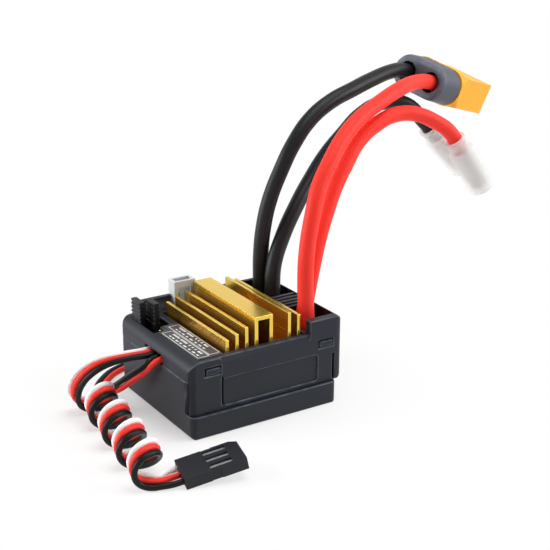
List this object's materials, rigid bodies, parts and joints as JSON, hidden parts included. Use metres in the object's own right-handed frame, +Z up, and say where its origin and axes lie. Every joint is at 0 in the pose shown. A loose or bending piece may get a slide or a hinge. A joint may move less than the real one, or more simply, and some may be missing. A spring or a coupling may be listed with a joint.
{
  "type": "electronic speed controller",
  "caption": "Brushed motor speed controller in a snap-fit case with a gold finned heat sink, power leads with plug and bullet sockets, a curly servo lead and a slide switch.",
  "frame": {"origin": "bottom centre of the case, on the surface it rests on", "axes": "+X along the front face towards the power wire bay, +Y to the back, +Z up"},
  "size_m": [0.122, 0.075, 0.0651],
  "materials": {
    "case_black": "moulded black plastic, satin, fine spark grain",
    "sink_gold": "gold anodised extrusion, satin",
    "pad_grey": "soft grey silicone pad",
    "board_green": "green solder mask",
    "chip_black": "moulded chip body",
    "capacitor_can": "drawn aluminium can",
    "solder_tin": "bright solder",
    "pin_gold": "gold plated pins",
    "jumper_black": "black jumper plastic",
    "socket_white": "milky white nylon",
    "label_print": "printed label film with plain marks",
    "grommet_rubber": "black rubber",
    "silicone_black": "soft black silicone insulation",
    "silicone_red": "soft red silicone insulation",
    "cap_grey": "dark grey nylon cap",
    "plug_yellow": "yellow orange nylon housing",
    "contact_gold": "gold plated contacts",
    "sleeve_clear": "clear soft vinyl",
    "wire_white": "white vinyl insulation",
    "wire_red": "red vinyl insulation",
    "wire_black": "black vinyl insulation",
    "servo_black": "black plug plastic",
    "crimp_tin": "tin plated crimp metal",
    "switch_steel": "nickel plated steel",
    "switch_board": "brown phenolic board",
    "switch_knob": "black knob plastic"
  },
  "bodies": {
    "controller": {"lower_case": "case_black", "upper_cover": "case_black", "heat_sink": "sink_gold", "thermal_pad": "pad_grey", "circuit_board": "board_green", "power_transistors": "chip_black", "microcontroller": "chip_black", "voltage_regulator": "chip_black", "filter_capacitors": "capacitor_can", "solder_lugs": "solder_tin", "jumper_base": "jumper_black", "jumper_pins": "pin_gold", "fan_socket": "socket_white", "fan_pins": "solder_tin", "setting_label": "label_print", "wire_comb": "case_black", "lead_grommet": "grommet_rubber", "battery_wire_black": "silicone_black", "battery_wire_red": "silicone_red", "motor_wire_black": "silicone_black", "motor_wire_red": "silicone_red", "battery_plug_cap": "cap_grey", "battery_plug_housing": "plug_yellow", "battery_plug_pins": "contact_gold", "motor_bullet_black": "crimp_tin", "motor_bullet_red": "crimp_tin", "motor_sleeve_black": "sleeve_clear", "motor_sleeve_red": "sleeve_clear", "servo_wire_white": "wire_white", "servo_wire_red": "wire_red", "servo_wire_black": "wire_black", "servo_plug": "servo_black", "servo_contacts": "crimp_tin", "switch_wire_black": "wire_black", "switch_wire_red": "wire_red", "switch_sleeves": "grommet_rubber", "switch_terminals": "solder_tin", "switch_base": "switch_board", "switch_frame": "switch_steel"},
    "switch_knob": {"switch_slider": "switch_knob", "switch_wiper": "pin_gold"},
    "battery_cap": {"battery_jumper": "jumper_black"},
    "brake_cap": {"brake_jumper": "jumper_black"}
  },
  "joints": [
    {"name": "switch_slide", "type": "slide", "parent": "controller", "child": "switch_knob", "axis": [1, 0, 0], "range_m": [0, 0.002]},
    {"name": "battery_cap_pull", "type": "slide", "parent": "controller", "child": "battery_cap", "axis": [0, 0, 1], "range_m": [0, 0.0065]},
    {"name": "brake_cap_pull", "type": "slide", "parent": "controller", "child": "brake_cap", "axis": [0, 0, 1], "range_m": [0, 0.0065]}
  ]
}
